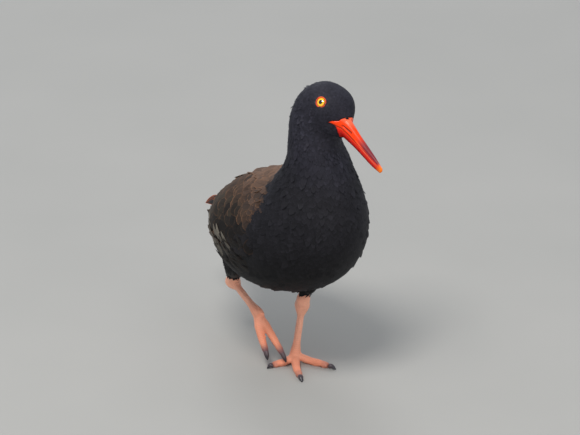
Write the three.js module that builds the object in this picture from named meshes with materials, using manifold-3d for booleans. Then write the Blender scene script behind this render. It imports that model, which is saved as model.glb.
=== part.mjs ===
// A life-size oystercatcher in mid stride: it stands on its left foot, and its right foot swings past
// with the toes hanging. Units are millimetres. The bird faces -Y, its left side is +X and up is +Z.
// The origin is on the ground, under the pad where the toes of the standing foot meet.
import * as THREE from "three";
import Module from "manifold-3d";
import { mergeVertices } from "three/addons/utils/BufferGeometryUtils.js";

const wasm = await Module();
wasm.setup();

// Driving dimensions
const GAP = 0.3; // clear space left between neighbouring pieces
const MIDLINE = -6; // left-right place of the body's middle plane: the body is carried over the standing foot
const NECK_AHEAD = 52; // the upright axis that the head turns on
const HEAD_PIVOT_UP = 258;
const HEAD_TURN = 14; // degrees to the bird's left
const HEAD_ROLL = 10; // degrees, right side raised
const BILL_LENGTH = 59; // from the feathers beside the culmen to the tip
const BILL_PITCH = 22; // degrees below level
const EYE_RADIUS = 4.25;
const EYE_FLATNESS = 0.64; // the eye's depth as a share of its width
const EYE_RING_RADIUS = 4.4;
const EYE_RING_TUBE = 0.42;
const TRUNK_TOP = 5.6; // station where the trunk ends and the neck starts
const NECK_TOP = 9.4; // station where the neck ends and the head starts
const PRESSED = 0.9; // what is lower than this under the standing foot is pressed flat on the ground

const degrees = THREE.MathUtils.degToRad;
const smooth = THREE.MathUtils.smoothstep;
const rounded = (value, power) => Math.sign(value) * Math.abs(value) ** power;
const at = (left, ahead, up) => new THREE.Vector3(left, -ahead, up);

// Materials
const finish = (color, roughness, metalness = 0) =>
  new THREE.MeshStandardMaterial({ color, roughness, metalness });
const slate = finish(0x24252b, 0.75);
const brown = finish(0x3f3128, 0.75);
const skin = finish(0xdd9f88, 0.5);
const horn = finish(0x4a4550, 0.4);
const bill = finish(0xef4418, 0.3);
const iris = finish(0xf4b80a, 0.1);
const ring = finish(0xe2401a, 0.45);

// Solids

// A closed geometry as a solid that faces out, whichever way its shape was mapped.
function solid(geometry) {
  const bare = geometry.clone();
  bare.deleteAttribute("normal");
  bare.deleteAttribute("uv");
  const merged = mergeVertices(bare, 1e-4);
  const place = merged.attributes.position;
  const triVerts = new Uint32Array(merged.index.array);
  const [a, b, c] = [new THREE.Vector3(), new THREE.Vector3(), new THREE.Vector3()];
  let volume = 0;
  for (let i = 0; i < triVerts.length; i += 3) {
    a.fromBufferAttribute(place, triVerts[i]);
    b.fromBufferAttribute(place, triVerts[i + 1]);
    c.fromBufferAttribute(place, triVerts[i + 2]);
    volume += a.dot(b.cross(c));
  }
  if (volume < 0) triVerts.reverse();
  return new wasm.Manifold(new wasm.Mesh({ numProp: 3, vertProperties: place.array, triVerts }));
}

// The largest body of a solid, so that a cut leaves no crumbs behind.
function mainBody(shape) {
  return shape.decompose().sort((one, other) => other.volume() - one.volume())[0];
}

function named(name, shape, material) {
  const mesh = mainBody(shape).getMesh();
  const geometry = new THREE.BufferGeometry();
  const flat = new Float32Array(mesh.numVert * 3);
  for (let i = 0; i < mesh.numVert; i++)
    for (let j = 0; j < 3; j++) flat[3 * i + j] = mesh.vertProperties[mesh.numProp * i + j];
  geometry.setAttribute("position", new THREE.BufferAttribute(flat, 3));
  geometry.setIndex(new THREE.BufferAttribute(new Uint32Array(mesh.triVerts), 1));
  geometry.computeVertexNormals();
  const made = new THREE.Mesh(geometry, material);
  made.name = name;
  return made;
}

// A closed skin through sections: a cylinder whose vertices move to place(t along, turn round, reach out).
function loft(sides, rings, place) {
  const geometry = new THREE.CylinderGeometry(1, 1, 1, sides, rings);
  const vertices = geometry.attributes.position;
  for (let i = 0; i < vertices.count; i++) {
    const [x, y, z] = [vertices.getX(i), vertices.getY(i), vertices.getZ(i)];
    const point = place(0.5 - y, Math.atan2(x, z), Math.min(1, Math.hypot(x, z)));
    vertices.setXYZ(i, point.x, point.y, point.z);
  }
  return solid(geometry);
}

// Rows of numbers as one smooth function of the row number, for up to three columns from a first one.
function smoothRows(rows, first, count) {
  const points = rows.map((row) => new THREE.Vector3(...row.slice(first, first + count), 0, 0));
  const curve = new THREE.CatmullRomCurve3(points, false, "catmullrom", 0.5);
  return (station) => curve.getPoint(THREE.MathUtils.clamp(station / (rows.length - 1), 0, 1));
}

// A tube with its own half width and half height at each point of its path. pressed gives it a flat sole.
function limb(path, halfWidths, { flat = 1, sides = 12, rings = 18, grow = 0, pressed = false } = {}) {
  const curve = new THREE.CatmullRomCurve3(path, false, "centripetal");
  const widths = smoothRows(halfWidths.map((w) => [w]), 0, 1);
  return loft(sides, rings, (t, turn, reach) => {
    const middle = curve.getPoint(t);
    const along = curve.getTangent(t);
    const across = new THREE.Vector3(0, 0, 1).cross(along);
    if (across.length() < 0.25) across.copy(new THREE.Vector3(0, -1, 0).cross(along));
    across.normalize();
    const over = along.clone().cross(across).normalize();
    const half = (Math.max(0.25, widths(t * (halfWidths.length - 1)).x) + grow) * reach;
    middle.addScaledVector(across, half * Math.sin(turn));
    middle.addScaledVector(over, half * flat * Math.cos(turn));
    if (grow) middle.addScaledVector(along, grow * (t < 0.5 ? -1 : 1) * (t === 0 || t === 1 ? 1 : 0));
    if (pressed && middle.z < PRESSED) middle.z = grow ? -1 : 0;
    return middle;
  });
}

const ball = (centre, radius, detail) =>
  solid(new THREE.SphereGeometry(radius, detail * 2, detail)).translate(...centre);

// Trunk, neck and head are one smooth form, given in its middle plane.
// Columns: dorsal ahead, dorsal up, ventral ahead, ventral up, half width, lift of the widest place.
const PROFILE = [
  [-106, 122, -104, 101, 15, 0],
  [-86, 141, -82, 89, 35.5, -0.1],
  [-52, 165, -46, 79, 51, -0.14],
  [-16, 183, -4, 77, 56, -0.15],
  [6, 192, 36, 85, 56, -0.1],
  [18, 200, 63, 103, 53.5, -0.04],
  [26, 209, 81, 129, 46, 0],
  [31, 219, 88, 158, 38, 0],
  [32, 231, 85.5, 186, 30.5, 0],
  [30, 246, 79.5, 211, 26, 0],
  [30, 261, 75.5, 229, 23.7, 0],
  [37, 276, 76.5, 241, 22.3, 0.05],
  [53, 287.5, 79, 245.5, 21.5, 0.1],
  [70, 287, 83, 246.5, 19.8, 0.16],
  [84, 280.5, 85.5, 246.5, 12.6, 0.22],
  [92.1, 267, 87.5, 247.3, 6.3, 0],
];
const dorsalLine = smoothRows(PROFILE, 0, 2);
const ventralLine = smoothRows(PROFILE, 2, 2);
const girth = smoothRows(PROFILE, 4, 2);
const BOXY = 0.82; // how square the flanks and belly are: 1 is an ellipse

const headPivot = at(MIDLINE, NECK_AHEAD, HEAD_PIVOT_UP);
const headSwing = new THREE.Quaternion().setFromEuler(
  new THREE.Euler(0, degrees(HEAD_ROLL), degrees(HEAD_TURN), "ZXY"),
);

// A point of the untwisted form. turn is 0 on the back, a quarter turn at the side and a half turn below.
function formPoint(station, turn, reach, grow = 0) {
  const dorsal = dorsalLine(station);
  const ventral = ventralLine(station);
  const { x: halfWidth, y: lift } = girth(station);
  const middle = at(MIDLINE, (dorsal.x + ventral.x) / 2, (dorsal.y + ventral.y) / 2);
  const spoke = at(0, (dorsal.x - ventral.x) / 2, (dorsal.y - ventral.y) / 2);
  const depth = spoke.length();
  const roundness = Math.cos(turn) > 0 ? 1 : THREE.MathUtils.lerp(BOXY, 1, smooth(station, 2, 5));
  const side = rounded(Math.sin(turn), roundness);
  const up = rounded(Math.cos(turn), roundness);
  const bulge = up + lift * side * side;
  middle.addScaledVector(spoke.normalize(), (depth + grow) * bulge * reach);
  middle.x += (Math.max(0.5, halfWidth) + grow) * side * reach;
  return middle;
}

// The upper neck and the back of the head carry the head's turn.
const TWIST_FROM = 8;
const TWIST_TO = 10.5;
function bodyPoint(station, turn, reach, grow = 0) {
  const share = smooth(station, TWIST_FROM, TWIST_TO);
  const swing = new THREE.Quaternion().slerp(headSwing, share);
  return formPoint(station, turn, reach, grow).sub(headPivot).applyQuaternion(swing).add(headPivot);
}

function bodyLength(from, to, sides, rings, grow = 0) {
  return loft(sides, rings, (t, turn, reach) => bodyPoint(from + (to - from) * t, turn, reach, grow));
}

const STATION_GAP = 0.03; // about GAP, in stations
const trunkWhole = bodyLength(0, TRUNK_TOP, 28, 13);
const trunkGrown = bodyLength(-0.01, TRUNK_TOP + 0.02, 28, 13, GAP);
const neckWhole = bodyLength(TRUNK_TOP + STATION_GAP, NECK_TOP, 26, 7);
const headWhole = bodyLength(NECK_TOP + STATION_GAP, PROFILE.length - 1, 26, 14);

// What the head carries turns with it: it is made as if the head looked straight ahead.
const headTurned = (shape) =>
  shape
    .translate(...headPivot.clone().negate())
    .transform(new THREE.Matrix4().makeRotationFromQuaternion(headSwing).elements)
    .translate(...headPivot);

// Bill: two mandibles that meet on the line of the mouth, with a slit of a nostril each side
const billRoot = at(MIDLINE, 74.1, 261.5);
const billAxis = at(0, Math.cos(degrees(BILL_PITCH)), -Math.sin(degrees(BILL_PITCH)));
const billUp = at(0, Math.sin(degrees(BILL_PITCH)), Math.cos(degrees(BILL_PITCH)));
const BILL_HIDDEN = 14; // length of the root inside the face
// Columns: distance from the root, half width, height above the mouth line, depth below it
const BILL_ROWS = [
  [0, 11, 7, 4.5],
  [5, 11.3, 9.6, 6.2],
  [BILL_HIDDEN, 6.9, 10.8, 6.9],
  [22, 5.2, 9.6, 6.0],
  [34, 4.2, 7.6, 4.7],
  [46, 3.3, 6.2, 4.4],
  [58, 2.3, 4.9, 4.2],
  [67, 1.6, 3.4, 3.2],
  [BILL_HIDDEN + BILL_LENGTH, 1.1, 2.3, 2.1],
];
const billReach = smoothRows(BILL_ROWS, 0, 2);
const billHeights = smoothRows(BILL_ROWS, 2, 2);
const RIDGE = 1.2; // above 1 the mandibles' sections narrow to a ridge

function mandible(upper, grow = 0) {
  return loft(12, 12, (t, turn, reach) => {
    const station = t * (BILL_ROWS.length - 1);
    const { x: out, y: halfWidth } = billReach(station);
    const { x: above, y: below } = billHeights(station);
    const lift = Math.max(0, Math.cos(turn)) ** RIDGE;
    const edge = GAP / 2 - grow;
    const rise = edge + ((upper ? above : below) - edge + grow) * lift * reach;
    const point = billRoot.clone().addScaledVector(billAxis, out + (t === 1 ? grow : 0));
    point.addScaledVector(billUp, upper ? rise : -rise);
    point.x += (halfWidth + grow) * Math.sin(turn) * reach;
    return point;
  });
}

// A tapering slit in each side of the upper mandible
function nostril(side) {
  const middle = billRoot.clone().addScaledVector(billAxis, 20).addScaledVector(billUp, 3);
  const path = [-5.5, 0, 5.5].map((out) =>
    middle.clone().addScaledVector(billAxis, out).add(at(side * (5.1 - out * 0.13), 0, 0)),
  );
  return limb(path, [0.3, 0.85, 0.3], { sides: 6, rings: 4 });
}

const billUpper = headTurned(mandible(true).subtract(nostril(-1)).subtract(nostril(1)));
const billLower = headTurned(mandible(false));
const billRoom = headTurned(mandible(true, GAP).add(mandible(false, GAP)));

// Eyes: a flattened ball that stands a little out of the face, with a fleshy ring round it, in a round socket
const EYE_STATION = 13.03;
const EYE_TURN = 1.2;
const SOCKET_RADIUS = 6;

function eyeParts(side) {
  const looks = at(side * 0.85, 0.34, 0.4).normalize();
  const surface = formPoint(EYE_STATION, side * EYE_TURN, 1);
  const under = (depth) => surface.clone().addScaledVector(looks, -depth);
  const torus = new THREE.TorusGeometry(EYE_RING_RADIUS, EYE_RING_TUBE, 5, 20);
  torus.lookAt(looks);
  torus.translate(...under(0.9));
  const eyeball = new THREE.SphereGeometry(EYE_RADIUS, 16, 9).scale(1, 1, EYE_FLATNESS);
  eyeball.lookAt(looks);
  eyeball.translate(...under(2.4));
  return {
    eyeball: headTurned(solid(eyeball)),
    orbit: headTurned(solid(torus)),
    socket: headTurned(ball(under(3.2), SOCKET_RADIUS, 6)),
  };
}
const eyes = { left: eyeParts(1), right: eyeParts(-1) };
const headShape = headWhole.subtract(billRoom).subtract(eyes.left.socket).subtract(eyes.right.socket);

// Wings: a plate over the side of the trunk, from the bend at the front to the ends of the tertials.
// Columns: station on the trunk, turn of the upper edge, turn of the lower edge, thickness
const WING_ROWS = [
  [5.3, 1.3, 1.5, 0.8],
  [5.0, 1.0, 1.65, 2.4],
  [4.3, 0.7, 1.72, 3.6],
  [3.3, 0.42, 1.7, 4.0],
  [2.3, 0.25, 1.65, 4.0],
  [1.4, 0.2, 1.6, 3.6],
  [0.7, 0.24, 1.5, 3.0],
  [0.2, 0.4, 1.2, 1.6],
];
const wingPlace = smoothRows(WING_ROWS, 0, 3);
const wingThick = smoothRows(WING_ROWS, 3, 1);
const WING_SINK = 3; // how far the uncut plate goes into the trunk

function wing(side, grow = 0) {
  return loft(16, 11, (t, turn, reach) => {
    const row = t * (WING_ROWS.length - 1);
    const { x: station, y: top, z: bottom } = wingPlace(row);
    const across = (top + bottom) / 2 - ((bottom - top) / 2) * Math.cos(turn) * reach;
    const out = Math.sin(turn) * reach;
    const proud = rounded(out, 0.55);
    const lift = proud > 0 ? proud * (wingThick(row).x + grow) : proud * WING_SINK;
    return formPoint(station, side * across, 1, lift);
  });
}

// Wing tips: the folded primaries, a blade that runs on from under the tertials to above the tail
const wingTipPath = (side) => [
  at(MIDLINE + side * 22, -84, 123),
  at(MIDLINE + side * 15.5, -108, 112.5),
  at(MIDLINE + side * 11, -127, 107),
  at(MIDLINE + side * 7, -142, 103.2),
];
function wingTip(side, grow = 0) {
  const curve = new THREE.CatmullRomCurve3(wingTipPath(side));
  const rows = smoothRows([[9, 2.6], [7, 2.2], [4, 1.6], [1.3, 0.8]], 0, 2);
  return loft(8, 8, (t, turn, reach) => {
    const { x: halfHeight, y: halfThick } = rows(t * 3);
    const point = curve.getPoint(t);
    const lean = Math.sin(turn) * (halfThick + grow) * reach;
    const rise = Math.cos(turn) * (halfHeight + grow) * reach;
    return point.add(at(side * (lean * 0.75 - rise * 0.62), 0, lean * 0.62 + rise * 0.75));
  });
}

// Tail: a slightly domed fan
const TAIL_ROWS = [
  [-98, 113, 13, 5],
  [-120, 107, 13, 3],
  [-140, 102, 11.5, 1.6],
  [-151, 99.3, 9, 1.1],
  [-156, 98, 4.5, 0.8],
];
const tailPlace = smoothRows(TAIL_ROWS, 0, 2);
const tailSize = smoothRows(TAIL_ROWS, 2, 2);
const TAIL_DOME = 0.006; // drop of the outer feathers, per square millimetre out
const tailWhole = (grow = 0) =>
  loft(14, 7, (t, turn, reach) => {
    const row = t * (TAIL_ROWS.length - 1);
    const { x: ahead, y: up } = tailPlace(row);
    const { x: halfWidth, y: halfThick } = tailSize(row);
    const out = (halfWidth + grow) * Math.sin(turn) * reach;
    const rise = (halfThick + grow) * Math.cos(turn) * reach;
    return at(MIDLINE + out, ahead, up + rise - TAIL_DOME * out * out);
  });

const wings = { left: wing(1), right: wing(-1) };
const wingRoom = { left: wing(1, GAP), right: wing(-1, GAP) };
const wingsRoom = wingRoom.left.add(wingRoom.right).add(trunkGrown);
const tailShape = tailWhole().subtract(trunkGrown).subtract(wingRoom.left).subtract(wingRoom.right);
const tipShapes = {
  left: wingTip(1).subtract(wingsRoom).subtract(tailWhole(GAP)),
  right: wingTip(-1).subtract(wingsRoom).subtract(tailWhole(GAP)).subtract(wingTip(1, GAP)),
};

// Legs. A leg is given by its knee, ankle and foot joint, and by where its feathers end.
const LEGS = {
  left: {
    thigh: [at(15, 22, 104), at(9, 14, 88), at(4.5, 7, 72)],
    thighWidths: [17, 13, 7.6],
    ankle: at(5.8, -2, 50.5),
    joint: at(-1.8, 0, 7),
    standing: true,
  },
  right: {
    thigh: [at(-41, -24, 108), at(-37, -44, 88), at(-33.5, -58, 70)],
    thighWidths: [18, 13, 7.6],
    ankle: at(-29, -68, 54.5),
    joint: at(-27, -22, 42),
    standing: false,
  },
};

// Toes from the joint to the root of the claw, then the claw's tip. Half widths swell at each pad.
const PAD_WIDTHS = [3.4, 3.5, 3.9, 3.3, 3.6, 3.0, 3.2, 2.5];
const TOES = {
  left: {
    middle: {
      path: [at(-2.6, 2, 6), at(-7, 12, 3.2), at(-10.8, 23, 2.9), at(-13.6, 33.5, 2.7)],
      tip: at(-15.6, 41.8, 0.5),
    },
    outer: {
      path: [at(0, 1.5, 6), at(7, 9.5, 3.2), at(13, 17, 2.9), at(18, 25.5, 2.7)],
      tip: at(22.5, 32, 0.5),
    },
    inner: {
      path: [at(-4, 1, 6), at(-12, 2.6, 3.2), at(-19, 2.4, 2.9), at(-25, 3, 2.7)],
      tip: at(-31, 3.4, 0.5),
    },
  },
  right: {
    middle: {
      path: [at(-26.4, -20.5, 40.5), at(-24, -10, 33), at(-20.8, -0.5, 23), at(-17.4, 6.3, 13.5)],
      tip: at(-15.2, 9.6, 5.6),
    },
    outer: {
      path: [at(-28.4, -21.5, 39.5), at(-30, -14, 31), at(-30.2, -6.5, 22), at(-29.8, -1, 14.5)],
      tip: at(-29.6, 1.8, 7.5),
    },
    inner: {
      path: [at(-25.4, -23.5, 40), at(-22.5, -18.5, 32.5), at(-19.5, -15, 25), at(-17, -12.5, 18.5)],
      tip: at(-15.4, -10.6, 12),
    },
  },
};

// Shank: its own length, with the knob of the ankle above and the swell of the foot's joint below
const SHANK_WIDTHS = [5, 6.1, 4.1, 3.15, 3, 3, 3, 3.1, 3.4, 4.4, 5, 4.2];
function shank({ ankle, joint, standing }, grow = 0) {
  const down = joint.clone().sub(ankle).normalize();
  const path = [
    ankle.clone().addScaledVector(down, -5),
    ankle.clone().lerp(joint, 0.5),
    joint.clone().addScaledVector(down, standing ? 7 : 4),
  ];
  return limb(path, SHANK_WIDTHS, { flat: 1.05, sides: 10, rings: 13, grow, pressed: standing });
}

function legParts(leg, toes) {
  const ankleRoom = shank(leg, GAP);
  const thigh = (grow) => limb(leg.thigh, leg.thighWidths, { sides: 14, rings: 6, grow });
  const tibia = limb([leg.thigh[2], leg.ankle], [4.8, 5], { sides: 10, rings: 3 });
  const parts = {
    thigh: thigh(0).subtract(trunkGrown),
    tibia: tibia.subtract(ankleRoom).subtract(thigh(GAP)),
    tarsus: shank(leg),
  };
  let taken = ankleRoom;
  for (const [toe, { path, tip }] of Object.entries(toes)) {
    const settings = { flat: 0.86, sides: 8 };
    const pad = { ...settings, rings: 8, pressed: leg.standing };
    const root = path[path.length - 1];
    const bend = root.clone().lerp(tip, 0.5).add(at(0, 0, leg.standing ? 1.1 : 0.4));
    const clawRoot = root.clone().lerp(bend, 0.14);
    parts[`claw_${toe}`] = limb([clawRoot, bend, tip], [2.3, 1.9, 0.5], { ...settings, rings: 4 });
    parts[`toe_${toe}`] = limb(path, PAD_WIDTHS, pad).subtract(taken);
    taken = taken.add(limb(path, PAD_WIDTHS, { ...pad, grow: GAP }));
  }
  return parts;
}

// The bird
const bird = new THREE.Group();
bird.add(named("trunk", trunkWhole, slate), named("neck", neckWhole, slate), named("head", headShape, slate));
bird.add(named("bill_upper", billUpper, bill), named("bill_lower", billLower, bill));
bird.add(named("tail", tailShape, brown));
const legFinishes = { thigh: slate, claw: horn };
for (const side of ["left", "right"]) {
  bird.add(named(`eye_${side}`, eyes[side].eyeball, iris), named(`eye_ring_${side}`, eyes[side].orbit, ring));
  bird.add(named(`wing_${side}`, wings[side].subtract(trunkGrown), brown));
  bird.add(named(`wing_tip_${side}`, tipShapes[side], brown));
  for (const [part, shape] of Object.entries(legParts(LEGS[side], TOES[side]))) {
    bird.add(named(`${part}_${side}`, shape, legFinishes[part.split("_")[0]] ?? skin));
  }
}

export default bird;
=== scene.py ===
import math

import bmesh
import bpy
import numpy as np
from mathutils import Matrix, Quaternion, Vector
from mathutils.bvhtree import BVHTree
from mathutils.kdtree import KDTree


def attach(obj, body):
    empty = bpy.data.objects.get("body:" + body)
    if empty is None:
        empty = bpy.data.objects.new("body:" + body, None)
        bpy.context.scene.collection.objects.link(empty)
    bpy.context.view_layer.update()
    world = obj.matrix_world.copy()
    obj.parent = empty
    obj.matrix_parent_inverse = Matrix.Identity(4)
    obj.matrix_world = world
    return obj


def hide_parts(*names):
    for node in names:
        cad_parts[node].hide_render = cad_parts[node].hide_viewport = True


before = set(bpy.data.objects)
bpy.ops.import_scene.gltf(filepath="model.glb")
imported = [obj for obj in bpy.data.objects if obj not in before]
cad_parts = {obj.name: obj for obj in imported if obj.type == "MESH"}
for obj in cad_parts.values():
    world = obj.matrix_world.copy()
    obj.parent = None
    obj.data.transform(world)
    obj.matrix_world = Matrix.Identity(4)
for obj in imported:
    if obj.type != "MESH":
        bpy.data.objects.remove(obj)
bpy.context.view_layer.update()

MM = 0.001
WELD = 1e-6
rng = np.random.default_rng(11)

# Sizes of the bird, in millimetres, as in the solids
MIDLINE = -6.0
NECK_AHEAD = 52.0
HEAD_PIVOT_UP = 258.0
HEAD_TURN = 14.0
HEAD_ROLL = 10.0
TWIST_FROM = 8.0
TWIST_TO = 10.5
BELLY_SQUARENESS = 0.82
SIDES = {-1: "right", 1: "left"}

# Dorsal ahead, dorsal up, ventral ahead, ventral up, half width, lift of the widest place.
# The first row runs the form on over the root of the tail, so station 0 is the second row.
PROFILE = [
    [-128, 110, -126, 97, 12, 0],
    [-106, 122, -104, 101, 15, 0],
    [-86, 141, -82, 89, 35.5, -0.1],
    [-52, 165, -46, 79, 51, -0.14],
    [-16, 183, -4, 77, 56, -0.15],
    [6, 192, 36, 85, 56, -0.1],
    [18, 200, 63, 103, 53.5, -0.04],
    [26, 209, 81, 129, 46, 0],
    [31, 219, 88, 158, 38, 0],
    [32, 231, 85.5, 186, 30.5, 0],
    [30, 246, 79.5, 211, 26, 0],
    [30, 261, 75.5, 229, 23.7, 0],
    [37, 276, 76.5, 241, 22.3, 0.05],
    [53, 287.5, 79, 245.5, 21.5, 0.1],
    [70, 287, 83, 246.5, 19.8, 0.16],
    [84, 280.5, 85.5, 246.5, 12.6, 0.22],
    [92.1, 267, 87.5, 247.3, 6.3, 0],
]
LAST_STATION = len(PROFILE) - 2.0


def at(left, ahead, up):
    """A point from how far it is to the bird's left, ahead and up."""
    return np.array([left, -ahead, up], float)


def ramp(value, low, high):
    """0 up to low, 1 from high on and smooth between. With high below low it falls instead."""
    share = np.clip((np.asarray(value, float) - low) / (high - low), 0, 1)
    return share * share * (3 - 2 * share)


def bell(value, middle, width):
    return np.exp(-(((value - middle) / width) ** 2))


def norm(vectors):
    return np.linalg.norm(vectors, axis=-1)


def smooth_rows(rows):
    """Rows of numbers as one smooth function of the row number."""
    points = np.array(rows, float)
    points = np.vstack([2 * points[0] - points[1], points, 2 * points[-1] - points[-2]])

    def read(row):
        row = np.clip(np.asarray(row, float), 0, len(points) - 3)
        first = np.minimum(row.astype(int), len(points) - 4)
        share = (row - first)[..., None]
        before, start, end, after = (points[first + k] for k in range(4))
        leave, arrive = (end - before) / 2, (after - start) / 2
        bend = 3 * (end - start) - 2 * leave - arrive
        swing = 2 * (start - end) + leave + arrive
        return start + share * (leave + share * (bend + share * swing))

    return read


def unit(vectors):
    return vectors / np.maximum(norm(vectors), 1e-9)[..., None]


def layer(colours, paint, share):
    """Colours with a share of another paint laid over each."""
    return colours * (1 - share[:, None]) + paint * share[:, None]


def tree_of(points):
    tree = KDTree(len(points))
    for index, point in enumerate(points):
        tree.insert(point, index)
    tree.balance()
    return tree


profile = smooth_rows(PROFILE)
HEAD_PIVOT = at(MIDLINE, NECK_AHEAD, HEAD_PIVOT_UP)
HEAD_SWING = (
    Quaternion((0, 0, 1), math.radians(HEAD_TURN)) @ Quaternion((0, 1, 0), math.radians(HEAD_ROLL))
)


def swing_head(points, share=1.0):
    """Turns points made for a bird that looks straight ahead; a share of -1 turns them back."""
    axis, angle = HEAD_SWING.to_axis_angle()
    axis = np.array(axis)
    angle = (np.asarray(share) * angle)[..., None]
    arm = points - HEAD_PIVOT
    along = (arm @ axis)[..., None] * axis
    turned = along + (arm - along) * np.cos(angle) + np.cross(axis, arm) * np.sin(angle)
    return turned + HEAD_PIVOT


# The eye and the bill, for a bird looking straight ahead
EYE_STATION = 13.03
EYE_TURN = 1.2
EYE_RADIUS = 5.15
EYE_THICK = 3.3
EYE_DEPTH = 2.9
EYE_RING_RADIUS = 4.4
EYE_RING_RISE = 2.1
BILL_PITCH = math.radians(22)
BILL_ROOT = at(MIDLINE, 74.1, 261.5)
BILL_AXIS = at(0, math.cos(BILL_PITCH), -math.sin(BILL_PITCH))
BILL_UP = at(0, math.sin(BILL_PITCH), math.cos(BILL_PITCH))
FACE_FROM = 11.5
GAPE = (14.2, 82.5, 258.3)  # how far out, ahead and up the face is drawn in at the mouth's corner
GAPE_REACH = (7, 7, 4.5)
GAPE_PINCH = 1.2


def rounded(value, power):
    return np.sign(value) * np.abs(value) ** power


def straight_form(station, turn, height):
    """The trunk, neck and head before the head turns. turn is 0 on the back and pi below."""
    station, turn = np.asarray(station, float), np.asarray(turn, float)
    row = profile(station + 1)
    dorsal = np.stack([0 * station, -row[..., 0], row[..., 1]], -1)
    ventral = np.stack([0 * station, -row[..., 2], row[..., 3]], -1)
    spoke = (dorsal - ventral) / 2
    depth = norm(spoke)
    spoke = spoke / np.maximum(depth, 1e-6)[..., None]
    squareness = BELLY_SQUARENESS + (1 - BELLY_SQUARENESS) * ramp(station, 2, 5)
    squareness = np.where(np.cos(turn) > 0, 1.0, squareness)
    side = rounded(np.sin(turn), squareness)
    up = rounded(np.cos(turn), squareness)
    bulge = up + row[..., 5] * side * side
    point = (dorsal + ventral) / 2 + spoke * ((depth + height) * bulge)[..., None]
    point[..., 0] = MIDLINE + (np.maximum(0.5, row[..., 4]) + height) * side
    place = np.stack([np.abs(point[..., 0] - MIDLINE), -point[..., 1], point[..., 2]], -1)
    pinch = GAPE_PINCH * bell(norm((place - GAPE) / GAPE_REACH), 0, 1) * (station > FACE_FROM)
    point[..., 0] -= pinch * np.sign(side)
    return point


def body_form(station, turn, height=0.0):
    share = ramp(station, TWIST_FROM, TWIST_TO)
    return swing_head(straight_form(station, turn, height), share)


# The folded wing is a raised panel on the side of the trunk
# Station on the trunk, turn of the upper edge, turn of the lower edge, thickness
WING_ROWS = np.array([
    [5.3, 1.3, 1.5, 0.8],
    [5.0, 1.0, 1.65, 2.4],
    [4.3, 0.7, 1.72, 3.6],
    [3.3, 0.42, 1.7, 4.0],
    [2.3, 0.25, 1.65, 4.0],
    [1.4, 0.2, 1.6, 3.6],
    [0.7, 0.24, 1.5, 3.0],
    [0.2, 0.4, 1.2, 1.6],
])[::-1]


def wing_edges(station):
    return [np.interp(station, WING_ROWS[:, 0], WING_ROWS[:, k]) for k in (1, 2, 3)]


def wing_share(station, turn):
    """0 at the wing's upper edge and 1 at its lower edge."""
    top, bottom, _ = wing_edges(station)
    return (np.abs(turn) - top) / (bottom - top)


def wing_height(station, turn):
    across = np.clip(2 * wing_share(station, turn) - 1, -1, 1)
    fade = ramp(station, -0.1, 0.5) * (1 - ramp(station, 5.1, 5.5))
    return wing_edges(station)[2] * (1 - across * across) ** 0.45 * fade


def coat_surface(station, turn):
    return body_form(station, turn, wing_height(station, turn))


def wrap(turn):
    return (turn + math.pi) % (2 * math.pi) - math.pi


# Meshes
def new_object(name, mesh):
    made = bpy.data.objects.new(name, mesh)
    bpy.context.scene.collection.objects.link(made)
    return made


def take_mesh(shape, name):
    """The mesh of a bmesh that isn't needed any more."""
    mesh = bpy.data.meshes.new(name)
    shape.to_mesh(mesh)
    shape.free()
    return mesh


def finish_piece(made, material, slot, *stands_for):
    made.data.materials.clear()
    made.data.materials.append(material)
    made.data.shade_smooth()
    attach(made, "root")
    if stands_for:
        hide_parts(*stands_for)
    return made


def write_attribute(mesh, name, kind, values):
    field = {"FLOAT_COLOR": "color", "FLOAT_VECTOR": "vector", "FLOAT": "value"}[kind]
    written = mesh.attributes.new(name, kind, "POINT")
    written.data.foreach_set(field, np.asarray(values, np.float32).ravel())


def roll_up(shape, sides, rings, place):
    """A closed skin: a grid rolled up by place(t along, turn round), which returns points in mm."""
    bmesh.ops.create_grid(shape, x_segments=rings, y_segments=sides, size=1)
    co = np.array([v.co for v in shape.verts])
    along, turn = (co[:, 0] + 1) / 2, (co[:, 1] + 1) * math.pi
    points = place(along, turn) * MM
    for vertex, point in zip(shape.verts, points):
        vertex.co = point
    bmesh.ops.remove_doubles(shape, verts=shape.verts, dist=2e-6)
    bmesh.ops.recalc_face_normals(shape, faces=shape.faces)


def tube(name, sides, rings, place, material, slot, *stands_for):
    shape = bmesh.new()
    roll_up(shape, sides, rings, place)
    return finish_piece(new_object(name, take_mesh(shape, name)), material, slot, *stands_for)


def mesh_points(mesh):
    points = np.empty(len(mesh.vertices) * 3)
    mesh.vertices.foreach_get("co", points)
    return points.reshape(-1, 3)


# Materials
def srgb(red, green, blue):
    """A colour as the eye sees it, 0 to 255, as the linear light that shaders use."""
    values = np.array([red, green, blue]) / 255
    linear = np.where(values < 0.04045, values / 12.92, ((values + 0.055) / 1.055) ** 2.4)
    return np.append(linear, 1.0)


def sum_of(operation, swapped=False):
    def write(wire, other):
        first, second = (other, wire) if swapped else (wire, other)
        return wire.paint.node("ShaderNodeMath", {"operation": operation}, {0: first, 1: second})

    return write


class Wire:
    """A number's socket that Python sums can be written with."""

    def __init__(self, paint, socket):
        self.paint, self.socket = paint, socket

    __add__ = __radd__ = sum_of("ADD")
    __sub__ = sum_of("SUBTRACT")
    __rsub__ = sum_of("SUBTRACT", swapped=True)
    __mul__ = __rmul__ = sum_of("MULTIPLY")
    most = sum_of("MAXIMUM")

    def size(self):
        return sum_of("ABSOLUTE")(self, 0.0)

    def fraction(self):
        return sum_of("FRACT")(self, 0.0)

    def step(self, low, high):
        limits = {"Value": self, "From Min": low, "From Max": high}
        settings = {"interpolation_type": "SMOOTHSTEP"}
        return self.paint.node("ShaderNodeMapRange", settings, limits)


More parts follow.
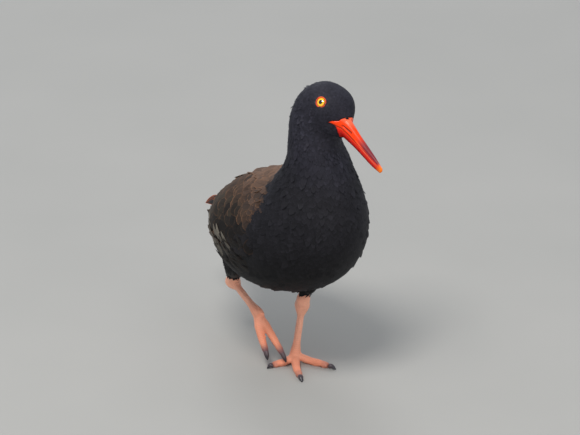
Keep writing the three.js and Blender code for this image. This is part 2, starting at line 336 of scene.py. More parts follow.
class Paint:
    """A material whose nodes are added one call at a time."""

    def __init__(self, name, **finish):
        self.material = bpy.data.materials.new(name)
        self.material.use_nodes = True
        self.tree = self.material.node_tree
        self.shader = self.tree.nodes["Principled BSDF"]
        for socket, value in finish.items():
            self.shader.inputs[socket.replace("_", " ")].default_value = value

    def node(self, kind, settings=None, inputs=None, output=0):
        made = self.tree.nodes.new(kind)
        for setting, value in (settings or {}).items():
            setattr(made, setting, value)
        for socket, value in (inputs or {}).items():
            if isinstance(value, Wire):
                self.tree.links.new(value.socket, made.inputs[socket])
            else:
                made.inputs[socket].default_value = value
        return Wire(self, made.outputs[output])

    def attribute(self, name, output="Color"):
        return self.node("ShaderNodeAttribute", {"attribute_name": name}, output=output)

    def place(self):
        return self.node("ShaderNodeTexCoord", output="Object")

    def noise(self, scale, detail=3.0, vector=None, rough=0.5):
        vector = vector or self.place()
        inputs = {"Scale": scale, "Detail": detail, "Roughness": rough, "Vector": vector}
        return self.node("ShaderNodeTexNoise", None, inputs)

    def mix(self, factor, first, second, blend="MIX"):
        settings = {"data_type": "RGBA", "blend_type": blend}
        return self.node("ShaderNodeMix", settings, {0: factor, 6: first, 7: second}, output=2)

    def tint(self, colour, strength):
        """A colour made lighter or darker by a number that is 1 where it stays the same."""
        grey = self.node("ShaderNodeCombineColor", None, {0: strength, 1: strength, 2: strength})
        return self.mix(1.0, colour, grey, "MULTIPLY")

    def bump(self, height, distance, strength=1.0):
        inputs = {"Height": height, "Distance": distance, "Strength": strength}
        self.feed(Normal=self.node("ShaderNodeBump", None, inputs))

    def feed(self, **links):
        for socket, wire in links.items():
            self.tree.links.new(wire.socket, self.shader.inputs[socket.replace("_", " ")])


def feather_paint(name, barb_contrast, fringe_colour, shaft_light, **sheen):
    """Vanes: barbs that slant from the shaft, a fringe along edge and tip, and soft mottling."""
    paint = Paint(name, Roughness=0.6, Specular_IOR_Level=0.15, **sheen)
    vane = paint.node("ShaderNodeSeparateXYZ", None, {0: paint.attribute("vane", "Vector")})
    along, across, seed = (Wire(paint, socket) for socket in vane.socket.node.outputs)
    out = across.size()
    barb_place = {0: along * 9 - out * 3, 1: out * 0.7, 2: seed * 40}
    barb_place = paint.node("ShaderNodeCombineXYZ", None, barb_place)
    barbs = paint.noise(3.2, 4.0, barb_place, 0.65)
    mottle = paint.noise(160.0)
    shaft = 1.0 - out.step(0.03, 0.16)
    strength = 0.86 + along * 0.28 + (barbs - 0.5) * barb_contrast + (mottle - 0.5) * 0.5
    colour = paint.tint(paint.attribute("coat"), strength + shaft * shaft_light)
    ragged = (barbs - 0.5) * 0.35
    rim = (out + ragged).step(0.8, 1.0).most((along + ragged * 0.4).step(0.91, 0.99))
    rim = rim * paint.attribute("fringe", "Fac")
    colour = paint.mix(rim, colour, paint.tint(fringe_colour, 0.8 + barbs * 0.4))
    paint.feed(Base_Color=colour)
    paint.bump(barbs * 0.6 + shaft * 0.3, 0.0003, 0.5)
    return paint.material


SHEEN = {"Sheen_Weight": 0.02, "Sheen_Roughness": 0.5}
slate_paint = feather_paint(
    "slate_feathers", 0.9, srgb(66, 65, 74), -0.1, **SHEEN, Sheen_Tint=(0.55, 0.62, 0.85, 1)
)
brown_paint = feather_paint(
    "brown_feathers", 0.7, srgb(118, 84, 60), -0.25, **SHEEN, Sheen_Tint=(0.9, 0.75, 0.6, 1)
)
rusty_paint = feather_paint("tail_quills", 0.5, srgb(176, 88, 44), -0.25)
DARK_COAT = (slate_paint, "dark_plumage")
BROWN_COAT = (brown_paint, "brown_plumage")

# Feathers
UV_PATCH = 0.003
TRIANGLE_LIMIT = 195_000
CROWD = 7  # candidates for each root that finds room


def shingle(name, centre, up, half, look, root_uv, material, slot, *stands_for,
            camber=0.25, thick=0.07):
    """Joined closed vanes: rings of left edge, crest, right edge and underside, then a tip point.

    centre and up, the way the upper face looks, are feather by row by xyz. half, the half widths,
    is feather by row, without the tip, which is centre's last row. look holds each feather's
    colour, fringe strength and seed, and along, the rows' places.
    """
    count, rows = half.shape
    tangent = unit(np.gradient(centre, axis=1))[:, :rows]
    across = unit(np.cross(up[:, :rows], tangent))
    up = unit(np.cross(tangent, across))
    middle = centre[:, :rows]
    drop, wide = up * (half * camber)[..., None], across * half[..., None]
    rings = np.stack([middle - wide - drop, middle, middle + wide - drop, middle - up * thick], 2)
    points = np.concatenate([rings.reshape(count, rows * 4, 3), centre[:, rows:]], 1)
    size = rows * 4 + 1
    quads = [
        (4 * r + k, 4 * r + (k + 1) % 4, 4 * r + 4 + (k + 1) % 4, 4 * r + 4 + k)
        for r in range(rows - 1) for k in range(4)
    ] + [(3, 2, 1, 0)]
    last = 4 * (rows - 1)
    tips = [(last + k, last + (k + 1) % 4, size - 1) for k in range(4)]
    first = (np.arange(count) * size)[:, None, None]
    faces = (np.array(quads)[None] + first).reshape(-1, 4).tolist()
    faces += (np.array(tips)[None] + first).reshape(-1, 3).tolist()
    triangles = count * (2 * len(quads) + 4)
    if triangles > TRIANGLE_LIMIT:
        raise ValueError(f"{name} has {triangles} triangles")
    mesh = bpy.data.meshes.new(name)
    mesh.from_pydata((points.reshape(-1, 3) * MM).tolist(), [], faces)
    along = np.append(np.repeat(look["along"][:rows], 4), 1.0)
    aside = np.append(np.tile([-1, 0, 1, 0], rows), 0)
    seed = np.repeat(look["seed"][:, None], size, 1)
    vane = np.stack([np.tile(along, (count, 1)), np.tile(aside, (count, 1)), seed], -1)
    write_attribute(mesh, "vane", "FLOAT_VECTOR", vane)
    write_attribute(mesh, "coat", "FLOAT_COLOR", np.repeat(look["colour"], size, 0))
    fringe = np.broadcast_to(look["fringe"], count)
    write_attribute(mesh, "fringe", "FLOAT", np.repeat(fringe, size))
    uv = root_uv[:, None] + UV_PATCH * np.stack([aside * 0.5, along - 0.5], -1)[None]
    of_corner = np.empty(len(mesh.loops), np.int32)
    mesh.loops.foreach_get("vertex_index", of_corner)
    uv_map = mesh.uv_layers.new(name="OFBake")
    uv_map.uv.foreach_set("vector", uv.reshape(-1, 2)[of_corner].astype(np.float32).ravel())
    left, ahead, under = (points[:, k] - points[:, 1] for k in (0, 5, 3))
    if (left * np.cross(ahead, under)).sum(-1).mean() > 0:
        mesh.flip_normals()
    made = finish_piece(new_object(name, mesh), material, slot, *stands_for)
    # a vane is a flat blade: its rims are sharp and its two faces are smooth
    ends = np.empty(len(mesh.edges) * 2, np.int32)
    mesh.edges.foreach_get("vertices", ends)
    ends = ends.reshape(-1, 2) % size
    corner = np.where(ends == size - 1, -1, ends % 4)
    low, high = corner.min(1), corner.max(1)
    rim = (low == high) & (low % 2 == 0)
    to_tip = (low == -1) & (high % 2 == 0)
    rims = mesh.attributes.new("sharp_edge", "BOOLEAN", "EDGE")
    rims.data.foreach_set("value", rim | to_tip | ((low == 0) & (high == 3)))
    return made


# Rows' places along a vane from root to tip, and the share of its width at each but the tip
ROUND_VANE = ([0.0, 0.28, 0.55, 0.76, 0.9, 0.975, 1.0], [0.3, 0.82, 1.0, 0.94, 0.7, 0.36])
SMALL_VANE = ([0.0, 0.4, 0.72, 0.92, 1.0], [0.35, 0.95, 0.9, 0.5])
POINTED_VANE = ([0.0, 0.3, 0.6, 0.82, 0.94, 1.0], [0.3, 0.9, 0.9, 0.5, 0.22])

PROBE = 0.02  # how far to either side a surface's slopes are measured
LEAST_SLOPE = 2.0


def slopes(surface, station, turn):
    """How a surface's point moves with the station and with the turn."""
    by_station = surface(station + PROBE, turn) - surface(station - PROBE, turn)
    by_turn = surface(station, turn + PROBE) - surface(station, turn - PROBE)
    return by_station / (2 * PROBE), by_turn / (2 * PROBE)


def lay(name, surface, station, turn, length, width, look, material, slot, *,
        drift, depth, lift, window, camber, vane=SMALL_VANE, backward=-1):
    """Feathers that run over a surface from their roots, each row a step further along the lie.

    drift turns the lie, depth is how deep the root sits, lift how high the tip stands, and window
    the stations that the bake map covers.
    """
    along, shape = (np.array(part) for part in vane)
    station, turn = station.copy(), turn.copy()
    centre, over = [], []
    for step in np.append(np.diff(along), 0.0):
        by_station, by_turn = slopes(surface, station, turn)
        centre.append(surface(station, turn))
        over.append(unit(np.cross(by_station, by_turn)))
        stride = length * step
        station += backward * stride * np.cos(drift) / np.maximum(norm(by_station), LEAST_SLOPE)
        turn += stride * np.sin(drift) / np.maximum(norm(by_turn), LEAST_SLOPE)
    centre, over = np.stack(centre, 1), np.stack(over, 1)
    if (over[:, 1] * (centre[:, 1] - centre.mean((0, 1)))).sum(-1).mean() < 0:
        over = -over
    depth, lift = (np.broadcast_to(part, length.shape)[:, None] for part in (depth, lift))
    heights = lift * along ** 2 - depth * (1 - along) ** 1.4
    low, high = window
    root_station, root_turn = look["root"]
    root_uv = [(root_station - low) / (high - low), wrap(root_turn) / (2 * math.pi) + 0.5]
    root_uv = 0.02 + 0.96 * np.stack(root_uv, -1)
    return shingle(
        name, centre + over * heights[..., None], over, width[:, None] / 2 * shape,
        dict(look, along=along), root_uv, material, slot, camber=camber,
    )


def scatter(surface, stations, spacing, keep):
    """Roots spread evenly over a surface, spacing(station, turn) millimetres apart."""
    def candidates(count):
        station, turn = rng.uniform(*stations, count), rng.uniform(-math.pi, math.pi, count)
        area = norm(np.cross(*slopes(surface, station, turn)))
        return station, turn, area / spacing(station, turn) ** 2

    need = candidates(4000)[2]
    extent = (stations[1] - stations[0]) * 2 * math.pi
    count = int(CROWD * need.max() * extent)
    station, turn, need_here = candidates(count)
    chosen = (rng.random(count) < need_here / need.max()) & keep(station, turn)
    station, turn = station[chosen], turn[chosen]
    points = surface(station, turn)
    tree = tree_of(points)
    reach = spacing(station, turn)
    free = np.ones(len(points), bool)
    kept = []
    for index, point in enumerate(points):
        if free[index]:
            kept.append(index)
            for _, near, _ in tree.find_range(point, reach[index]):
                free[near] = False
    return station[kept], turn[kept]


def vary(count, spread):
    return 1 + rng.uniform(-spread, spread, count)


# Colours of the plumage, by where a feather's root is on the form
SLATE = srgb(25, 24, 28)
SLATE_HEAD = srgb(36, 35, 43)
# the belly's duller colour, with painted shade under the body darkening it further
BELLY_AND_SHADE = srgb(12, 11, 12)
# the back's brown with a painted highlight from above; MANTLE is the darker brown without it
BACK_BROWN_AND_HIGHLIGHT = srgb(92, 68, 53)
MANTLE = srgb(56, 43, 36)
BROWN = srgb(35, 29, 24)
BROWN_LIGHT = srgb(54, 46, 36)
# reddish brown of the scapulars, lightened as a painted highlight where light falls from above
WARM_BROWN_AND_HIGHLIGHT = srgb(68, 49, 38)
# dark brown of the quills, also laid low on the folded wing as painted shade
DARK_BROWN_AND_SHADE = srgb(17, 14, 14)
FLANK = srgb(126, 119, 107)
FLANK_DARK = srgb(70, 65, 58)
PALE_FEATHERS = 0.08  # share of body feathers that are paler than the rest


def brown_until(side):
    """The station where the brown gives way to slate, by the turn from the back."""
    return np.interp(side, [0.9, 1.08, 1.28, 1.46, 1.7, 1.8], [6.0, 5.6, 5.1, 4.3, 3.1, -1])


def plumage(station, turn):
    """Colour of a body feather, and how strong its fringe is."""
    count = len(station)
    side = np.abs(turn)
    rough = rng.normal(0, 0.12, count)
    back = 1 - ramp(station + 1.8 * rough - brown_until(side), -0.35, 0.35)
    up = coat_surface(station, turn)[:, 2]
    # darker the lower a feather sits: partly the belly's duller colour, partly painted shade under
    # the body
    belly = ramp(up, 185, 105) * (1 - back)
    flank = 0.15 * ramp(side, 1.5, 1.66) * ramp(side + rough, 2.2, 1.85)
    flank = flank * ramp(station + rough, 3.2, 2.2)
    # only the top of the back keeps the painted highlight; further down the sides the darker brown
    # shows
    low_back = back * ramp(side + rough, 0.35, 0.95)
    colour = layer(SLATE, SLATE_HEAD, ramp(station, 8, 10))
    for share, paint in ((belly, BELLY_AND_SHADE), (back, BACK_BROWN_AND_HIGHLIGHT), (low_back, MANTLE), (flank, FLANK)):
        colour = layer(colour, paint, share)
    strength = vary(count, 0.26)
    strength = strength * (1 + (0.35 + 0.6 * belly) * (rng.random(count) < PALE_FEATHERS))
    on_brown = rng.uniform(0.4, 1, count)
    on_slate = 0.34 * rng.random(count) * (1 - 0.7 * belly)
    return colour * strength[:, None], np.where(back > 0.5, on_brown, on_slate)


roots_seen = []  # roots' points and colours, from which the skin takes its markings


def look_of(surface, station, turn, colour, fringe):
    """What a feather's paint and bake map need. Its colour at its root also marks the skin."""
    roots_seen.append((surface(station, turn), colour))
    return {
        "colour": colour, "fringe": fringe, "seed": rng.random(len(station)),
        "root": (station.copy(), turn.copy()),
    }


eye_surface = {side: straight_form(EYE_STATION, side * EYE_TURN, 0.0) for side in SIDES}
eye_looks = {side: unit(at(side * 0.85, 0.34, 0.4)) for side in SIDES}


def straight_only(station, turn):
    return straight_form(station, turn, 0.0)


def away_from_eyes(station, turn):
    point = straight_only(station, turn)
    return np.minimum(*(norm(point - eye) for eye in eye_surface.values()))


def bill_place(points):
    """How far out along the bill and above its middle line the points of a straight head are."""
    arm = points - BILL_ROOT
    return arm @ BILL_AXIS, arm @ BILL_UP


# The bare corner of the mouth: a wedge that runs back from the bill over the face
WEDGE_OUT = [7.2, 9.1, 10.9, 12.3, 13.0, 14.6]
WEDGE_TOP = [2.4, 4.9, 6.1, 7.1, 9.7, 12.5]
WEDGE_BOTTOM_OUT = [7.2, 12.7, 14.6, 16.5, 17.7]
WEDGE_BOTTOM = [2.0, 1.7, -1.0, -4.4, -8.5]


def inside_wedge(out, rise, soft):
    top = np.interp(out, WEDGE_OUT, WEDGE_TOP)
    bottom = np.interp(out, WEDGE_BOTTOM_OUT, WEDGE_BOTTOM)
    return (
        ramp(top - rise, -soft, soft) * ramp(rise - bottom, -soft, soft)
        * ramp(out, 7.2 - soft, 7.2 + soft)
    )


def bare_face(station, turn):
    return inside_wedge(*bill_place(straight_only(station, turn)), 0.5) > 0.3


def under_wing(station, turn, margin=0.1):
    share = wing_share(station, turn)
    return (station < 5.1) & (station > 0.2) & (share > margin) & (share < 1 - margin)


CLEAR_OF_EYE = 4.9
BROWN_FROM = 0.03  # the red from which a feather counts as brown
LOOSE_FEATHERS = 0.05  # share of body feathers whose tips stand off
TRACTS = {
    # name: stations, spacing, length, width, root depth
    "head": ((9.6, 14.97), 1.5, 5.2, 3.0, 0.6),
    "neck": ((5.9, 9.6), 2.1, 10.5, 5.2, 0.9),
    "breast": ((3.4, 5.9), 2.6, 13.5, 7.0, 1.1),
    "belly": ((-0.2, 3.4), 3.0, 15.5, 8.0, 1.3),
}


def head_scale(station, turn):
    """Feathers shrink towards the bill and the eye."""
    face = 1 - 0.62 * ramp(station, 11.2, 14.6)
    near_eye = 0.5 + 0.5 * ramp(away_from_eyes(station, turn), 6, 15)
    return np.minimum(face, near_eye)


def lay_tract(tract):
    stations, gap, length, width, depth = TRACTS[tract]

    def scale(station, turn):
        if tract == "head":
            return head_scale(station, turn)
        brown = ramp(station - brown_until(np.abs(turn)), 0.1, -0.9) * (np.abs(turn) < 1.7)
        return 1 + 0.75 * brown

    def keep(station, turn):
        if tract != "head":
            return ~under_wing(station, turn)
        tips = station - length * head_scale(station, turn) / 15
        clear = away_from_eyes(station, turn) > CLEAR_OF_EYE
        clear &= away_from_eyes(tips, turn) > CLEAR_OF_EYE - 0.2
        return clear & ~bare_face(station, turn)

    station, turn = scatter(coat_surface, stations, lambda s, t: gap * scale(s, t), keep)
    count = len(station)
    grown = scale(station, turn)
    look = look_of(coat_surface, station, turn, *plumage(station, turn))
    side = np.abs(turn)
    flank = ramp(side, 1.55, 1.8) * ramp(side, 2.7, 2.2) * ramp(station, 3.8, 2.6)
    drift = rng.normal(0, 0.11, count) - np.sign(turn) * 0.4 * flank
    lengths = length * grown * vary(count, 0.12)
    widths = width * grown * vary(count, 0.12)
    loose = (rng.random(count) < LOOSE_FEATHERS) & (station < 12)
    stand = (0.06 + 0.42 * rng.random(count) ** 2 + 1.1 * loose) * grown
    brown = look["colour"][:, 0] > BROWN_FROM
    for part, chosen, coat in (("slate", ~brown, DARK_COAT), ("brown", brown, BROWN_COAT)):
        if chosen.any():
            piece_look = {key: look[key][chosen] for key in ("colour", "fringe", "seed")}
            piece_look["root"] = [place[chosen] for place in look["root"]]
            lay(
                f"{tract}_{part}", coat_surface, station[chosen], turn[chosen], lengths[chosen],
                widths[chosen], piece_look, *coat, drift=drift[chosen],
                depth=depth * grown[chosen], lift=stand[chosen],
                window=(stations[0] - 0.3, stations[1] + 0.3), camber=0.05,
            )


for tract in TRACTS:
    lay_tract(tract)


# Wing feathers
TERTIALS_FROM = 1.9
TERTIAL_LENGTHS = [62, 60, 56, 50, 44, 38]
TERTIAL_WIDTHS = [17, 17, 16, 15, 14, 13]
WING_WINDOW = (-0.5, 5.8)


def lay_wing(side, name):
    """Coverts in rows from the bend of the wing back, and tertials over the flight feathers."""
    rows = []  # each of stations, turns, lengths and widths
    row_station = 5.25
    while row_station > 0.9:
        top, bottom, _ = wing_edges(row_station)
        top, bottom = top - 0.06, bottom + 0.02
        aft = ramp(row_station, 5.0, 1.6)
        two = np.array([row_station, row_station + PROBE])
        here, ahead = coat_surface(two, np.full(2, side * (top + bottom) / 2))
        across = coat_surface(np.full(40, row_station), side * np.linspace(top, bottom, 40))
        wide = 13.0 + 5.5 * aft
        number = max(2, int(norm(np.diff(across, axis=0)).sum() / (wide * 0.6)))
        place = (np.arange(number) + (0.5 if len(rows) % 2 else 0.0) + 0.25) / number
        place = place[place < 1.02]
        place = np.clip(place + rng.normal(0, 0.014, len(place)), -0.02, 1.02)
        scapular = ramp(place, 0.5, 0.2)
        rows.append([
            row_station + rng.normal(0, 0.03, len(place)),
            side * (top + (bottom - top) * place),
            (20.0 + 16.0 * aft) * (1 + 0.3 * scapular) * vary(len(place), 0.12),
            wide * vary(len(place), 0.12) * (1 + 0.15 * scapular),
        ])
        row_station -= (7.0 + 4.5 * aft) / (norm(here - ahead) / PROBE)
    place = np.array([0.1, 0.26, 0.42, 0.58, 0.74, 0.9])
    top, bottom, _ = wing_edges(TERTIALS_FROM)
    rows.append([
        TERTIALS_FROM - 0.15 * place, side * (top + (bottom - top) * place),
        TERTIAL_LENGTHS, TERTIAL_WIDTHS,
    ])
    station, turn, length, width = (np.concatenate(column) for column in zip(*rows))
    count = len(station)
    share = wing_share(station, turn)
    colour = layer(BROWN_LIGHT, BROWN, rng.random(count))
    # the upper wing: partly its own reddish brown, partly painted highlight from above
    warm_and_lit = 0.7 * ramp(share + rng.normal(0, 0.1, count), 0.5, 0.05)
    # painted shade: darker towards the wing's lower edge and its bend at the front
    low = share + rng.normal(0, 0.06, count) + 0.18 * ramp(station, 3.0, 4.2)
    low = ramp(low, 0.4, 0.7) * (0.45 + 0.55 * ramp(station, 2.0, 3.0))
    front = station + rng.normal(0, 0.24, count) - brown_until(np.abs(turn))
    front = ramp(front, -0.4, 0.3) * (share < 0.97)
    for paint, laid in ((WARM_BROWN_AND_HIGHLIGHT, warm_and_lit), (DARK_BROWN_AND_SHADE, low), (SLATE, front)):
        colour = layer(colour, paint, laid)
    fringe = rng.uniform(0.1, 0.8, count) * (1 - 0.7 * front) * (1 - 0.8 * low)
    look = look_of(coat_surface, station, turn, colour * vary(count, 0.1)[:, None], fringe)
    lay(
        f"wing_coverts_{name}", coat_surface, station, turn, length, width, look, *BROWN_COAT,
        vane=ROUND_VANE, drift=rng.normal(0, 0.09, count) + side * 0.06, depth=2.8,
        lift=rng.uniform(0.5, 1.7, count), window=WING_WINDOW, camber=0.16,
    )


def lay_flank(side, name):
    """Loose pale feathers of the flank, whose points stand up over the wing's lower edge."""
    count, tiers = 56, 5
    place = (np.arange(count) + rng.uniform(-0.3, 0.3, count)) / count
    tier = np.arange(count) % tiers
    station = 1.4 + 2.9 * place
    turn = side * (1.82 + 0.12 * tier + rng.normal(0, 0.025, count))
    colour = layer(FLANK_DARK, FLANK, rng.random(count))
    front = ramp(station + 0.25 * tier + rng.normal(0, 0.12, count), 3.1, 3.6)
    # the front flank feathers darken to the belly's colour, painted shade included
    look = look_of(coat_surface, station, turn, layer(colour, BELLY_AND_SHADE, front), 0.1)
    drift = -side * (0.95 + rng.normal(0, 0.16, count))
    lay(
        f"flank_feathers_{name}", coat_surface, station, turn, 29.0 * vary(count, 0.2),
        11.5 * vary(count, 0.2), look, *BROWN_COAT, vane=POINTED_VANE, drift=drift, depth=0.7,
        lift=rng.uniform(1.4, 2.2, count), window=WING_WINDOW, camber=0.14,
    )


for side, name in SIDES.items():
    lay_wing(side, name)
    lay_flank(side, name)


# Flight and tail feathers
QUILL_ROWS = 16
QUILL_TIP = 0.12  # the share of a quill's length that rounds off


def long_feathers(name, paths, leans, widths, paint, node):
    """Each path is a list of points in mm, each lean the direction its upper face looks in."""
    round_off = np.array([0.8, 0.6, 0.4, 0.22, 0.08, 0])
    reach = np.linspace(0, 1 - QUILL_TIP, QUILL_ROWS - len(round_off))
    reach = np.append(reach, 1 - QUILL_TIP * round_off)
    centre = np.stack([smooth_rows(path)(reach * (len(path) - 1)) for path in paths])
    up = np.repeat(np.array(leans, float)[:, None], QUILL_ROWS, 1)
    past = (reach - (1 - QUILL_TIP)).clip(0) / QUILL_TIP
    shape = (0.45 + 0.55 * ramp(reach, 0, 0.35)) * np.sqrt(np.clip(1 - past ** 2, 0, 1))
    half = (np.array(widths)[:, None] / 2 * shape)[:, :-1]
    count = len(paths)
    look = {
        "colour": DARK_BROWN_AND_SHADE * vary(count, 0.12)[:, None], "fringe": 0.7,
        "seed": rng.random(count), "along": reach,
    }
    low, high = centre.min((0, 1)), centre.max((0, 1))
    root = (centre[:, 2] - low) / (high - low)
    root_uv = np.stack([root[:, 1] * 0.2 + np.arange(count) / count * 0.7, root[:, 0]], -1)
    shingle(name, centre, up, half, look, 0.05 + 0.9 * root_uv, paint, "brown_plumage", node,
            camber=0.12, thick=0.5)


def wing_tip(side, name):
    line = [(22, -84, 123), (15.5, -108, 112.5), (11, -127, 107), (7, -142, 103.2)]
    line = smooth_rows([at(MIDLINE + side * out, ahead, up) for out, ahead, up in line])
    lean = at(side * 0.75, 0, 0.62)
    rise = at(-side * 0.62, 0, 0.75)
    paths, widths = [], []
    for order in range(6):
        path = line(np.linspace(0, 3 * (1 - 0.085 * order), 6))
        step_up = (1.6 - 0.9 * order) * np.linspace(1, 0.35, 6)[:, None]
        paths.append(path + lean * (-1.1 + 0.42 * order) + rise * step_up)
        widths.append(10.5 - order * 0.5)
    long_feathers(f"primaries_{name}", paths, [lean] * 6, widths, brown_paint, f"wing_tip_{name}")


def tail_fan():
    paths, leans = [], []
    for order in range(-6, 6):
        out = (order + 0.5) / 5.5
        spread = out * np.array([6.5, 8.0, 8.5, 8.0])
        ahead = [-94.0, -118.0, -140.0, -156.0 + 4 * out * out]
        up = np.array([113.0, 107.5, 102.0, 98.3]) - 0.006 * spread ** 2
        up = up - 0.25 * abs(order + 0.5) + 1.0
        paths.append([at(MIDLINE + x, y, z) for x, y, z in zip(spread, ahead, up)])
        leans.append(at(out * 0.35, 0.2, 1))
    long_feathers("tail_feathers", paths, leans, [9.0] * 12, rusty_paint, "tail")


for side, name in SIDES.items():
    wing_tip(side, name)
tail_fan()

# Legs: the same paths as the solids
LEGS = {
    "left": {
        "thigh": [at(15, 22, 104), at(9, 14, 88), at(4.5, 7, 72)], "widths": [17, 13, 7.6],
        "ankle": at(5.8, -2, 50.5), "joint": at(-1.8, 0, 7), "claw_rise": 1.1,
        "toes": {
            "middle": [at(-2.6, 2, 6), at(-7, 12, 3.2), at(-10.8, 23, 2.9), at(-13.6, 33.5, 2.7)],
            "outer": [at(0, 1.5, 6), at(7, 9.5, 3.2), at(13, 17, 2.9), at(18, 25.5, 2.7)],
            "inner": [at(-4, 1, 6), at(-12, 2.6, 3.2), at(-19, 2.4, 2.9), at(-25, 3, 2.7)],
        },
        "tips": {
            "middle": at(-15.6, 41.8, 0.5), "outer": at(22.5, 32, 0.5), "inner": at(-31, 3.4, 0.5),
        },
    },
    "right": {
        "thigh": [at(-41, -24, 108), at(-37, -44, 88), at(-33.5, -58, 70)], "widths": [18, 13, 7.6],
        "ankle": at(-29, -68, 54.5), "joint": at(-27, -22, 42), "claw_rise": 0.4,
        "toes": {
            "middle": [
                at(-26.4, -20.5, 40.5), at(-24, -10, 33), at(-20.8, -0.5, 23), at(-17.4, 6.3, 13.5),
            ],
            "outer": [
                at(-28.4, -21.5, 39.5), at(-30, -14, 31), at(-30.2, -6.5, 22), at(-29.8, -1, 14.5),
            ],
            "inner": [
                at(-25.4, -23.5, 40), at(-22.5, -18.5, 32.5), at(-19.5, -15, 25),
                at(-17, -12.5, 18.5),
            ],
        },
        "tips": {
            "middle": at(-15.2, 9.6, 5.6), "outer": at(-29.6, 1.8, 7.5),
            "inner": at(-15.4, -10.6, 12),
        },
    },
}


def limb_form(path, widths, flat=1.0):
    """A tube's surface: place along 0 to 1 and turn round it, from its path and half widths."""
    line, girth = smooth_rows(path), smooth_rows([[w] for w in widths])

    def surface(along, turn):
        along, turn = np.asarray(along, float), np.asarray(turn, float)
        last = len(path) - 1
        forward = unit(line((along + 0.01) * last) - line((along - 0.01) * last))
        across = np.cross([0, 0, 1.0], forward)
        steep = norm(across)[..., None] < 0.25
        across = unit(np.where(steep, np.cross([0, 1.0, 0], forward), across))
        over = unit(np.cross(forward, across))
        spoke = across * np.sin(turn)[..., None] + over * flat * np.cos(turn)[..., None]
        return line(along * last) + girth(along * (len(widths) - 1)) * spoke

    return surface


def node_shape(node):
    """A copy of a solid, whose loose triangles are joined."""
    shape = bmesh.new()
    shape.from_mesh(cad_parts[node].data)
    bmesh.ops.remove_doubles(shape, verts=shape.verts, dist=WELD)
    return shape


trunk_shape = node_shape("trunk")
trunk_tree = BVHTree.FromBMesh(trunk_shape)
trunk_shape.free()


def outside_trunk(points, margin):
    """True where a point in mm is outside the trunk, or less than margin inside."""
    outside = []
    for point in points * MM:
        near, normal, _, gap = trunk_tree.find_nearest(Vector(point))
        outside.append((Vector(point) - near).dot(normal) >= 0 or gap < margin * MM)
    return np.array(outside)


for name, leg in LEGS.items():
    knee = leg["thigh"][-1]
    sleeve_end = knee + 13 * unit(leg["ankle"] - knee)
    surface = limb_form(leg["thigh"] + [sleeve_end], leg["widths"] + [6.0])
    station, turn = scatter(surface, (0.05, 0.74), lambda s, t: 1.9 + 0 * s, lambda s, t: s < 0.64)
    chosen = outside_trunk(surface(station, turn), 5)
    station, turn = station[chosen], turn[chosen]
    count = len(station)
    # the thigh feathers take the belly's colour, painted shade included
    look = look_of(surface, station, turn, BELLY_AND_SHADE * vary(count, 0.2)[:, None], 0.1)
    lay(
        f"thigh_feathers_{name}", surface, station, turn, 7.5 * vary(count, 0.35),
        3.0 * vary(count, 0.15), look, *DARK_COAT, drift=rng.normal(0, 0.25, count), backward=1,
        camber=0.1, depth=2.0, lift=rng.uniform(0.0, 0.5, count), window=(0.0, 1.1),
        vane=POINTED_VANE,
    )

# The skin: one closed surface under the feathers and over the legs
FLESH = ["trunk", "neck", "head"] + [
    f"{part}_{side}"
    for side in ("left", "right")
    for part in ("wing", "thigh", "tibia", "tarsus", "toe_middle", "toe_outer", "toe_inner")
]
VOXEL = 1.15
JOIN = 0.28  # how far each solid swells, so that neighbours meet
HEAD_FROM = 9.3


def whole_head(along, turn):
    """The head without the holes that the solids have for the eyes and the bill."""
    close = np.clip(np.minimum(along, 1 - along) / 0.02, 0, 1) ** 0.5
    station = HEAD_FROM + (LAST_STATION - HEAD_FROM) * np.clip((along - 0.02) / 0.96, 0, 1)
    middle = (body_form(station, 0 * turn) + body_form(station, 0 * turn + math.pi)) / 2
    return middle + (body_form(station, turn) - middle) * close[:, None]


def skin_source():
    """The solids of flesh, swollen until they meet, as one even mesh."""
    whole = bmesh.new()
    for node in FLESH:
        if node == "head":
            part = bmesh.new()
            roll_up(part, 90, 60, whole_head)
        else:
            part = node_shape(node)
        part.normal_update()
        for vertex in part.verts:
            vertex.co += vertex.normal * JOIN * MM
        scratch = take_mesh(part, "scratch")
        whole.from_mesh(scratch)
        bpy.data.meshes.remove(scratch)
    source = new_object("skin_source", take_mesh(whole, "skin_source"))
    remesh = source.modifiers.new("even", "REMESH")
    remesh.mode = "VOXEL"
    remesh.voxel_size = VOXEL * MM
    shown = source.evaluated_get(bpy.context.evaluated_depsgraph_get())
    ready = bpy.data.meshes.new_from_object(shown)
    bpy.data.objects.remove(source)
    return ready


def path_reach(points, path):
    """Each point's distance from a smooth path, and how far along it that is, in mm."""
    line = smooth_rows(path)(np.linspace(0, len(path) - 1, 60))
    lengths = np.append(0, np.cumsum(norm(np.diff(line, axis=0))))
    gaps = norm(points[:, None] - line[None])
    nearest = gaps.argmin(1)
    forward = unit(np.gradient(line, axis=0))[nearest]
    beyond = ((points - line[nearest]) * forward).sum(-1)
    return gaps[np.arange(len(points)), nearest], lengths[nearest] + beyond


LEG_PINK = srgb(255, 186, 156)
LEG_ORANGE = srgb(242, 146, 110)
LEG_DUSK = srgb(176, 108, 90)
TOE_END = srgb(92, 68, 80)
TOE_END_SHARE = {"left": 0.45, "right": 0.9}
BARE_BELOW = 64.0  # everything lower, in mm, is bare leg
COAT_DEPTH = 3.0


def soften(shape, chosen, factor):
    axes = {f"use_axis_{axis}": True for axis in "xyz"}
    bmesh.ops.smooth_vert(shape, verts=chosen, factor=factor, **axes)


def is_feathered(points):
    feathered = points[:, 2] > BARE_BELOW
    for leg in LEGS.values():
        knee = leg["thigh"][-1]
        bare = (points - knee) @ unit(leg["ankle"] - knee) > 1.0
        bare &= (norm(points[:, :2] - knee[:2]) < 40) & (points[:, 2] < 76)
        feathered &= ~bare
    return feathered


